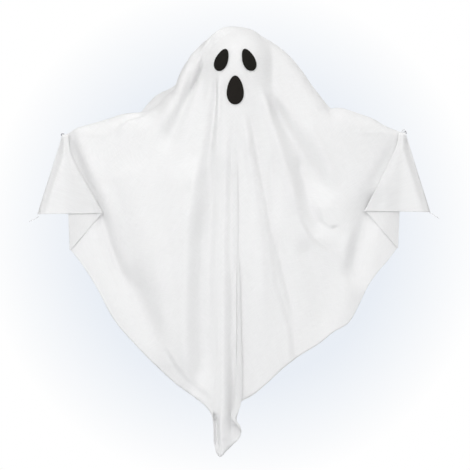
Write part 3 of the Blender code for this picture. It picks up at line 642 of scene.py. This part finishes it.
def flap_points(side, fold):
    """A side corner by rows: a turn, the middle layer, a turn back and the front flap."""
    tip_z = tip_of(side)[1]
    down = np.clip((tip_z - fold[:, 2]) / SIDE_FOLD_DROP, 0.0, 1.0)
    gap = TIP_LAYER_GAP + (HEM_LAYER_GAP - TIP_LAYER_GAP) * down
    side_z = fold_place(side, down, SIDE_FOLD_IN, SIDE_FOLD_DROP)[1]
    start = LEFT_FLAP_START if side < 0 else RIGHT_FLAP_START
    inset = np.logaddexp(0.0, (down - start) * FLAP_TURN) / (FLAP_TURN * (1.0 - start))
    fold_x = fold_place(side, np.minimum(inset, 1.0), FLAP_FOLD_IN, FLAP_FOLD_DROP, TIP_WIDTH)[0]
    fold_z = tip_z - FLAP_FOLD_DROP * down
    edge_x, edge_z = fold_place(side, down, -CORNER_OUT, CORNER_DROP, -TIP_WIDTH)
    y = fold[:, 1]
    turn = math.pi * np.arange(1, TURN_COLUMNS + 1) / TURN_COLUMNS
    columns = [(fold[:, 0], y, fold[:, 2])]
    for angle in turn:
        x = fold[:, 0] + side * FOLD_EDGE * math.sin(angle)
        columns.append((x, y - gap / 2 * (1 - math.cos(angle)), fold[:, 2]))
    start_x = columns[-1][0]
    middle_x = fold_x + side * FOLD_EDGE
    for share in np.arange(1, MIDDLE_COLUMNS + 1) / MIDDLE_COLUMNS:
        x = start_x * (1 - share) + middle_x * share
        z = side_z * (1 - share) + fold_z * share
        columns.append((x, over_front(x, z, y) - gap, z))
    fold_y = over_front(middle_x, fold_z, y)
    for angle in turn:
        x = middle_x - side * FOLD_EDGE * math.sin(angle)
        columns.append((x, fold_y - gap * (1.5 - 0.5 * math.cos(angle)), fold_z))
    for share in np.arange(1, FLAP_COLUMNS + 1) / FLAP_COLUMNS:
        x = middle_x * (1 - share) + edge_x * share
        z = fold_z * (1 - share) + edge_z * share
        wide = np.abs(edge_x - middle_x)
        strip = 1.0 - CURL_WIDTH / np.maximum(wide, CURL_STRIP * CURL_WIDTH)
        curl = CORNER_CURL * smooth((share - strip) / (1.0 - strip)) * smooth(down / CURL_FADE)
        bulge = FLAP_BULGE * (1.0 - smooth(down / FLAP_BULGE_END)) * wide * math.sin(math.pi * share) ** 0.8
        columns.append((x, over_front(x, z, y) - 2 * gap - bulge + curl, z))
    return np.stack([np.stack(column, axis=-1) for column in columns], axis=1)


def add_grid(mesh, points, layer, flat):
    """Lay a grid of faces out on rows and columns of places, and keep each flat place."""
    rows, columns = points.shape[:2]
    made = bmesh.ops.create_grid(mesh, x_segments=columns - 1, y_segments=rows - 1, size=1.0)
    for vert in made["verts"]:
        column = round((vert.co.x + 1.0) / 2.0 * (columns - 1))
        row = round((1.0 - vert.co.y) / 2.0 * (rows - 1))
        vert.co = points[row, column]
        vert[layer] = flat[row, column]


def flat_places(points, top_row, first_column):
    """Place of every point on the flat cloth, from lengths along the rows and the columns."""
    right = np.linalg.norm(np.diff(points, axis=1), axis=2)
    down = np.linalg.norm(np.diff(points, axis=0), axis=2)
    u = np.concatenate((np.zeros((points.shape[0], 1)), np.cumsum(right, axis=1)), axis=1)
    v = np.concatenate((np.zeros((1, points.shape[1])), np.cumsum(down, axis=0)), axis=0)
    u = u - u[:, first_column : first_column + 1]
    v = v[top_row : top_row + 1, :] - v
    return np.stack((u, v, np.zeros_like(u)), axis=-1)


def make_cloth(material):
    """The whole sheet: both side corners, the front and the cape behind the top line."""
    body = sheet_points()
    sides = (flap_points(-1, body[CAPE_ROWS:, 0])[:, ::-1], flap_points(1, body[CAPE_ROWS:, -1]))
    mesh = bmesh.new()
    layer = mesh.verts.layers.float_vector.new("flat")
    flat = flat_places(body, CAPE_ROWS, FRONT_COLUMNS // 2)
    add_grid(mesh, body, layer, flat)
    for corner, edge in zip(sides, (0, -1)):
        joined = corner.shape[1] - 1 if edge == 0 else 0
        place = flat_places(corner, 0, joined) + flat[CAPE_ROWS:, edge][:, None, :] * (1.0, 0.0, 0.0)
        add_grid(mesh, corner, layer, place)
    bmesh.ops.remove_doubles(mesh, verts=mesh.verts, dist=1e-6)
    bmesh.ops.recalc_face_normals(mesh, faces=mesh.faces)
    cloth = finish_mesh("draped_cloth", mesh, material)
    store_flat_map(cloth)
    shell = cloth.modifiers.new("thickness", "SOLIDIFY")
    shell.thickness = CLOTH_THICKNESS
    shell.offset = 0.0
    return cloth


def store_flat_map(cloth):
    """UV map in metres of flat cloth, so the weave follows the sheet."""
    places = np.zeros(len(cloth.data.vertices) * 3, np.float32)
    cloth.data.attributes["flat"].data.foreach_get("vector", places)
    corner = np.zeros(len(cloth.data.loops), np.int32)
    cloth.data.loops.foreach_get("vertex_index", corner)
    uv = cloth.data.uv_layers.new(name="flat_cloth")
    uv.data.foreach_set("uv", places.reshape(-1, 3)[corner, :2].ravel())


# Face patches and thread tails


def off_front(x, z, offset):
    """Places that stand off the front sheet by the offset, square to it."""
    slope_x = (front_base(x + SLOPE_STEP, z) - front_base(x - SLOPE_STEP, z)) / (2 * SLOPE_STEP)
    slope_z = (front_base(x, z + SLOPE_STEP) - front_base(x, z - SLOPE_STEP)) / (2 * SLOPE_STEP)
    normal = np.stack((slope_x, -np.ones_like(x), slope_z), axis=-1)
    normal /= np.linalg.norm(normal, axis=-1, keepdims=True)
    stand = front_rise(x, z) + offset
    return np.stack((x, front_base(x, z), z), axis=-1) + normal * stand[:, None]


def make_patch(name, x, drop, length, width, tilt, material):
    """Felt patch on the cloth: an egg outline, narrow end up, that follows the head."""
    mesh = bmesh.new()
    bmesh.ops.create_circle(mesh, cap_ends=True, cap_tris=True, segments=PATCH_SEGMENTS, radius=1.0)
    spokes = [edge for edge in mesh.edges if not edge.is_boundary]
    bmesh.ops.subdivide_edges(mesh, edges=spokes, cuts=PATCH_CUTS, use_grid_fill=True)
    flat = np.array([vert.co[:] for vert in mesh.verts])
    radius, angle = np.hypot(flat[:, 0], flat[:, 1]), np.arctan2(flat[:, 0], flat[:, 1])
    across = width / 2 * radius * np.sin(angle) * (1 - EGG_TAPER * np.cos(angle))
    up = length / 2 * radius * np.cos(angle)
    place_x = x + across * math.cos(tilt) + up * math.sin(tilt)
    place_z = -drop + up * math.cos(tilt) - across * math.sin(tilt)
    lift = SOLID_THICKNESS / 2 + FELT_GAP + FELT_THICKNESS / 2
    for vert, place in zip(mesh.verts, off_front(place_x, place_z, lift)):
        vert.co = place
    bmesh.ops.recalc_face_normals(mesh, faces=mesh.faces)
    patch = finish_mesh(name, mesh, material)
    shell = patch.modifiers.new("thickness", "SOLIDIFY")
    shell.thickness = FELT_THICKNESS
    shell.offset = 0.0
    edge = patch.modifiers.new("soft edge", "BEVEL")
    edge.width = FELT_THICKNESS * FELT_EDGE
    edge.segments = 2
    edge.limit_method = "ANGLE"
    return patch


def make_thread(name, route, thickness, material):
    """Short tail of sewing thread along a route of places."""
    mesh = bmesh.new()
    places = [Vector(place) for place in route]
    first = bmesh.ops.create_circle(mesh, cap_ends=True, segments=8, radius=thickness / 2)["verts"]
    heading = (places[1] - places[0]).normalized()
    turn = heading.to_track_quat("Z", "Y")
    for vert in first:
        vert.co = places[0] + turn @ vert.co
    ring = list(mesh.faces)
    for before, place in zip(places, places[1:]):
        made = bmesh.ops.extrude_face_region(mesh, geom=ring)["geom"]
        ring = [item for item in made if isinstance(item, bmesh.types.BMFace)]
        new = (place - before).normalized()
        swing = heading.rotation_difference(new)
        for vert in [item for item in made if isinstance(item, bmesh.types.BMVert)]:
            vert.co = place + swing @ (vert.co - before)
        heading = new
    bmesh.ops.recalc_face_normals(mesh, faces=mesh.faces)
    return finish_mesh(name, mesh, material)


def finish_mesh(name, mesh, material):
    """Turn a bmesh into a smooth-shaded piece of the ghost with its material."""
    data = bpy.data.meshes.new(name)
    mesh.to_mesh(data)
    mesh.free()
    data.materials.append(material)
    data.shade_smooth()
    piece = bpy.data.objects.new(name, data)
    bpy.context.scene.collection.objects.link(piece)
    return piece


# Materials


def linear(code):
    """sRGB hex code as a linear colour."""
    values = [int(code[i : i + 2], 16) / 255 for i in (1, 3, 5)]
    return (*(v / 12.92 if v <= 0.04045 else ((v + 0.055) / 1.055) ** 2.4 for v in values), 1.0)


def node(tree, kind, inputs=None, **settings):
    """Add one shader node. Inputs are values or sockets to link, by the input's name or number."""
    made = tree.nodes.new("ShaderNode" + kind)
    for name, value in settings.items():
        setattr(made, name, value)
    for name, value in (inputs or {}).items():
        if isinstance(value, bpy.types.NodeSocket):
            tree.links.new(value, made.inputs[name])
        else:
            made.inputs[name].default_value = value
    return made


def wave_scale(spacing):
    """Scale at which a wave texture, which turns 20 radians per unit, has its bands this far apart."""
    return 2 * math.pi / 20 / spacing


def new_material(name):
    """Empty material with its output node."""
    material = bpy.data.materials.new(name)
    material.use_nodes = True
    material.node_tree.nodes.clear()
    return material, material.node_tree


def woven_polyester():
    """Thin plain-weave polyester, heat-set white: matt, slightly sheer, with faint slubs."""
    material, tree = new_material("woven polyester")
    uv = node(tree, "UVMap", uv_map="flat_cloth").outputs["UV"]
    # The threads run along the cut edges, which hang at 45 degrees.
    grain = node(tree, "Mapping", {"Vector": uv, "Rotation": (0.0, 0.0, math.radians(45))})
    grain = grain.outputs["Vector"]
    threads = []
    for direction in ("X", "Y"):
        bands = {
            "Vector": grain, "Scale": wave_scale(WEAVE_SPACING), "Distortion": 0.6, "Detail": 1.0,
        }
        wave = node(tree, "TexWave", bands, wave_type="BANDS", bands_direction=direction)
        threads.append(wave.outputs["Fac"])
    weave = node(tree, "Math", {0: threads[0], 1: threads[1]}, operation="MAXIMUM").outputs[0]
    # Slubs are thicker stretches of yarn, both ways.
    slubs = []
    for size_x, size_y in ((SLUB_LENGTH, SLUB_WIDTH), (SLUB_WIDTH, SLUB_LENGTH)):
        along = node(tree, "Mapping", {"Vector": grain, "Scale": (1 / size_x, 1 / size_y, 1.0)})
        yarn = {"Vector": along.outputs["Vector"], "Scale": 1.0, "Detail": 2.0}
        slubs.append(node(tree, "TexNoise", yarn).outputs["Fac"])
    slub = node(tree, "Math", {0: slubs[0], 1: slubs[1]}, operation="ADD").outputs[0]
    # Creases about 18 mm apart, left from folding and handling.
    folds = {"Vector": uv, "Scale": 55.0, "Detail": 3.0, "Roughness": 0.5}
    crumple = node(tree, "TexNoise", folds).outputs["Fac"]
    tone = node(tree, "MapRange", {"Value": slub, "From Min": 0.7, "From Max": 1.3}).outputs["Result"]
    tone = node(tree, "Math", {0: tone, 1: weave}, operation="MULTIPLY").outputs[0]
    whites = {"Factor": tone, "A": linear("#f1f1f1"), "B": linear("#f9f9f9")}
    colour = node(tree, "Mix", whites, data_type="RGBA").outputs["Result"]
    crease = node(tree, "Bump", {"Height": crumple, "Strength": 0.35, "Distance": 1.2 * MM})
    relief = {"Height": slub, "Strength": 0.12, "Distance": 0.3 * MM, "Normal": crease.outputs["Normal"]}
    normal = node(tree, "Bump", relief).outputs["Normal"]
    shader = node(tree, "BsdfPrincipled", {
        "Base Color": colour, "Roughness": 0.78, "IOR": 1.5, "Specular IOR Level": 0.25,
        "Sheen Weight": 0.12, "Sheen Roughness": 0.5, "Normal": normal,
    })
    through_light = node(tree, "BsdfTranslucent", {"Color": colour, "Normal": normal})
    mixed = node(tree, "MixShader", {0: 0.22, 1: shader.outputs["BSDF"], 2: through_light.outputs["BSDF"]})
    node(tree, "OutputMaterial", {"Surface": mixed.outputs["Shader"]})
    return material


def pressed_felt(name, code):
    """Pressed wool-blend felt, dyed: fully matt, with short fibres lying every way."""
    material, tree = new_material(name)
    place = node(tree, "TexCoord").outputs["Object"]
    # Fibre tangles of about 0.5 mm, and flocks of about 3 mm.
    tangle = {"Vector": place, "Scale": 2000.0, "Detail": 4.0, "Roughness": 0.7}
    fibres = node(tree, "TexNoise", tangle).outputs["Fac"]
    flocks = node(tree, "TexNoise", {"Vector": place, "Scale": 330.0, "Detail": 2.0}).outputs["Fac"]
    blacks = {"Factor": flocks, "A": linear(code), "B": linear("#1f1c19")}
    colour = node(tree, "Mix", blacks, data_type="RGBA")
    fuzz = node(tree, "Bump", {"Height": fibres, "Strength": 0.5, "Distance": 0.3 * MM})
    shader = node(tree, "BsdfPrincipled", {
        "Base Color": colour.outputs["Result"], "Roughness": 0.95, "IOR": 1.45,
        "Specular IOR Level": 0.12, "Sheen Weight": 0.05, "Sheen Roughness": 0.6,
        "Normal": fuzz.outputs["Normal"],
    })
    node(tree, "OutputMaterial", {"Surface": shader.outputs["BSDF"]})
    return material


def bead_foam():
    """Expanded polystyrene, steam-moulded: fused beads about 3 mm wide, white and dull."""
    material, tree = new_material("expanded polystyrene")
    place = node(tree, "TexCoord").outputs["Object"]
    beads = node(tree, "TexVoronoi", {"Vector": place, "Scale": 330.0}, feature="DISTANCE_TO_EDGE")
    edges = {"Value": beads.outputs["Distance"], "From Min": 0.0, "From Max": 0.12}
    seam = node(tree, "MapRange", edges).outputs["Result"]
    whites = {"Factor": seam, "A": linear("#dcdcdc"), "B": linear("#f2f2f0")}
    colour = node(tree, "Mix", whites, data_type="RGBA")
    bump = node(tree, "Bump", {"Height": seam, "Strength": 0.5, "Distance": 0.2 * MM})
    shader = node(tree, "BsdfPrincipled", {
        "Base Color": colour.outputs["Result"], "Roughness": 0.6, "IOR": 1.5,
        "Normal": bump.outputs["Normal"],
    })
    node(tree, "OutputMaterial", {"Surface": shader.outputs["BSDF"]})
    return material


def drawn_steel():
    """Cold-drawn steel wire: fine lines along its length and a dull grey shine."""
    material, tree = new_material("drawn steel wire")
    place = node(tree, "TexCoord").outputs["Object"]
    # Die lines are about 0.1 mm apart and run along the arm.
    along = node(tree, "Mapping", {"Vector": place, "Scale": (60.0, 9000.0, 9000.0)})
    marks = {"Vector": along.outputs["Vector"], "Scale": 1.0, "Detail": 2.0}
    lines = node(tree, "TexNoise", marks).outputs["Fac"]
    shine = node(tree, "MapRange", {"Value": lines, "To Min": 0.28, "To Max": 0.48}).outputs["Result"]
    greys = {"Factor": lines, "A": linear("#8f9093"), "B": linear("#b9babd")}
    colour = node(tree, "Mix", greys, data_type="RGBA")
    bump = node(tree, "Bump", {"Height": lines, "Strength": 0.2, "Distance": 0.05 * MM})
    shader = node(tree, "BsdfPrincipled", {
        "Base Color": colour.outputs["Result"], "Metallic": 1.0, "Roughness": shine,
        "Normal": bump.outputs["Normal"],
    })
    node(tree, "OutputMaterial", {"Surface": shader.outputs["BSDF"]})
    return material


def spun_thread():
    """Spun polyester sewing thread, undyed: twisted strands with a slight sheen."""
    material, tree = new_material("spun polyester thread")
    place = node(tree, "TexCoord").outputs["Object"]
    slanted = node(tree, "Mapping", {"Vector": place, "Rotation": (0.0, math.radians(35), 0.0)})
    strands = {
        "Vector": slanted.outputs["Vector"], "Scale": wave_scale(TWIST_SPACING), "Distortion": 1.0,
    }
    twist = node(tree, "TexWave", strands).outputs["Fac"]
    whites = {"Factor": twist, "A": linear("#c9c9c9"), "B": linear("#ebebea")}
    colour = node(tree, "Mix", whites, data_type="RGBA")
    bump = node(tree, "Bump", {"Height": twist, "Strength": 0.5, "Distance": 0.1 * MM})
    shader = node(tree, "BsdfPrincipled", {
        "Base Color": colour.outputs["Result"], "Roughness": 0.7, "IOR": 1.5,
        "Normal": bump.outputs["Normal"],
    })
    node(tree, "OutputMaterial", {"Surface": shader.outputs["BSDF"]})
    return material


def painted_floor():
    """Matt white studio floor: rolled paint with a faint orange-peel grain.

    The camera sees it fade into the white backdrop at its edge.
    """
    material, tree = new_material("matt white paint")
    place = node(tree, "TexCoord").outputs["Object"]
    grain = node(tree, "TexNoise", {"Vector": place, "Scale": 400.0, "Detail": 2.0}).outputs["Fac"]
    bump = node(tree, "Bump", {"Height": grain, "Strength": 0.1, "Distance": 0.3 * MM})
    paint = {
        "Base Color": linear("#f2f3f5"), "Roughness": 0.85, "Normal": bump.outputs["Normal"],
    }
    shader = node(tree, "BsdfPrincipled", paint)
    flat = node(tree, "VectorMath", {0: place, 1: (1.0, 1.0, 0.0)}, operation="MULTIPLY")
    away = node(tree, "VectorMath", {0: flat.outputs["Vector"]}, operation="LENGTH").outputs["Value"]
    ring = {"Value": away, "From Min": FLOOR_FADE[0], "From Max": FLOOR_FADE[1]}
    fade = node(tree, "MapRange", ring).outputs["Result"]
    seen = node(tree, "LightPath").outputs["Is Camera Ray"]
    white = node(tree, "Math", {0: fade, 1: seen}, operation="MULTIPLY").outputs[0]
    backdrop = node(tree, "Emission", {"Color": linear("#ffffff"), "Strength": 1.0}).outputs["Emission"]
    mixed = node(tree, "MixShader", {0: white, 1: shader.outputs["BSDF"], 2: backdrop})
    node(tree, "OutputMaterial", {"Surface": mixed.outputs["Shader"]})
    return material


# Stage, light and camera


def make_floor():
    """Pale studio floor under the hanging ghost."""
    mesh = bmesh.new()
    bmesh.ops.create_circle(mesh, cap_ends=True, segments=96, radius=FLOOR_RADIUS)
    bmesh.ops.translate(mesh, verts=mesh.verts, vec=(0.0, 0.0, FLOOR_Z))
    floor = finish_mesh("studio_floor", mesh, painted_floor())


def make_world():
    """Even light on the ghost, and a white backdrop with a soft pale-blue glow behind it."""
    world = bpy.data.worlds.new("studio")
    bpy.context.scene.world = world
    world.use_nodes = True
    tree = world.node_tree
    tree.nodes.clear()
    light = node(tree, "Background", {"Color": linear("#fdfdfd"), "Strength": 0.40})
    heading = node(tree, "TexCoord").outputs["Generated"]
    parts = node(tree, "SeparateXYZ", {"Vector": heading})
    x, y, z = parts.outputs["X"], parts.outputs["Y"], parts.outputs["Z"]
    side = node(tree, "Math", {0: x, 1: x}, operation="MULTIPLY").outputs[0]
    square = node(tree, "Math", {0: z, 1: z, 2: side}, operation="MULTIPLY_ADD").outputs[0]
    away = node(tree, "Math", {0: square, 1: 0.5}, operation="POWER").outputs[0]
    ahead = node(tree, "Math", {0: y, 1: AHEAD_LEAST}, operation="MAXIMUM").outputs[0]
    slope = node(tree, "Math", {0: away, 1: ahead}, operation="DIVIDE").outputs[0]
    glow = node(tree, "MapRange", {"Value": slope, "From Min": GLOW[0], "From Max": GLOW[1]})
    blues = {"Factor": glow.outputs["Result"], "A": linear("#e9eef5"), "B": linear("#ffffff")}
    tone = node(tree, "Mix", blues, data_type="RGBA")
    shown = node(tree, "Background", {"Color": tone.outputs["Result"], "Strength": 1.0})
    path = node(tree, "LightPath")
    seen = path.outputs["Is Camera Ray"]
    for kind in ("Is Glossy Ray", "Is Transmission Ray"):
        seen = node(tree, "Math", {0: seen, 1: path.outputs[kind]}, operation="MAXIMUM").outputs[0]
    layers = {0: seen, 1: light.outputs["Background"], 2: shown.outputs["Background"]}
    mixed = node(tree, "MixShader", layers)
    node(tree, "OutputWorld", {"Surface": mixed.outputs["Shader"]})


def make_lamp(name, place, target, size, power):
    """Soft square lamp that points at a place."""
    data = bpy.data.lights.new(name, "AREA")
    data.shape = "SQUARE"
    data.size = size
    data.energy = power
    lamp = bpy.data.objects.new(name, data)
    lamp.location = place
    lamp.rotation_mode = "QUATERNION"
    lamp.rotation_quaternion = (Vector(target) - Vector(place)).to_track_quat("-Z", "Y")
    bpy.context.scene.collection.objects.link(lamp)


def make_camera():
    """Straight-on camera level with the middle of the ghost: 470 pixels cover 0.449 m there."""
    data = bpy.data.cameras.new("camera")
    data.sensor_width = SENSOR_WIDTH
    data.lens = SENSOR_WIDTH * CAMERA_DISTANCE / (PHOTO_PIXELS * PIXEL_SIZE)
    data.clip_start, data.clip_end = 0.05, 20.0
    camera = bpy.data.objects.new("camera", data)
    camera.location = (CAMERA_X, -CAMERA_DISTANCE, CAMERA_Z)
    camera.rotation_euler = (math.radians(90), 0.0, 0.0)
    bpy.context.scene.collection.objects.link(camera)
    bpy.context.scene.camera = camera


scene = bpy.context.scene
scene.view_settings.view_transform = "Standard"
make_camera()
make_world()
make_floor()
for lamp in LAMPS:
    make_lamp(*lamp)

cloth = make_cloth(woven_polyester())
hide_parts("cloth")
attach(cloth, "root")

eye_felt = pressed_felt("black felt", "#11110e")
mouth_felt = pressed_felt("black-brown felt", "#1c1916")
half = EYE_SPACING / 2
patches = (
    ("left_eye", FACE_SHIFT - half, EYE_DROP, EYE_LENGTH, EYE_WIDTH, EYE_TILT, eye_felt),
    ("right_eye", FACE_SHIFT + half, EYE_DROP, EYE_LENGTH, EYE_WIDTH, -EYE_TILT, eye_felt),
    ("mouth", FACE_SHIFT, MOUTH_DROP, MOUTH_LENGTH, MOUTH_WIDTH, 0.0, mouth_felt),
)
for name, *shape in patches:
    patch = make_patch(name + "_felt", *shape)
    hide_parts(name)
    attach(patch, "root")

thread = spun_thread()
for name, route in THREAD_TAILS:
    tail = make_thread(name, [Vector(place) * MM for place in route], THREAD_DIAMETER, thread)
    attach(tail, "root")
finished = (
    ("head_ball", bead_foam()),
    ("arm_wire", drawn_steel()),
    ("left_tie", thread),
    ("right_tie", thread),
)
for name, material in finished:
    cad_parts[name].data.materials.clear()
    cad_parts[name].data.materials.append(material)
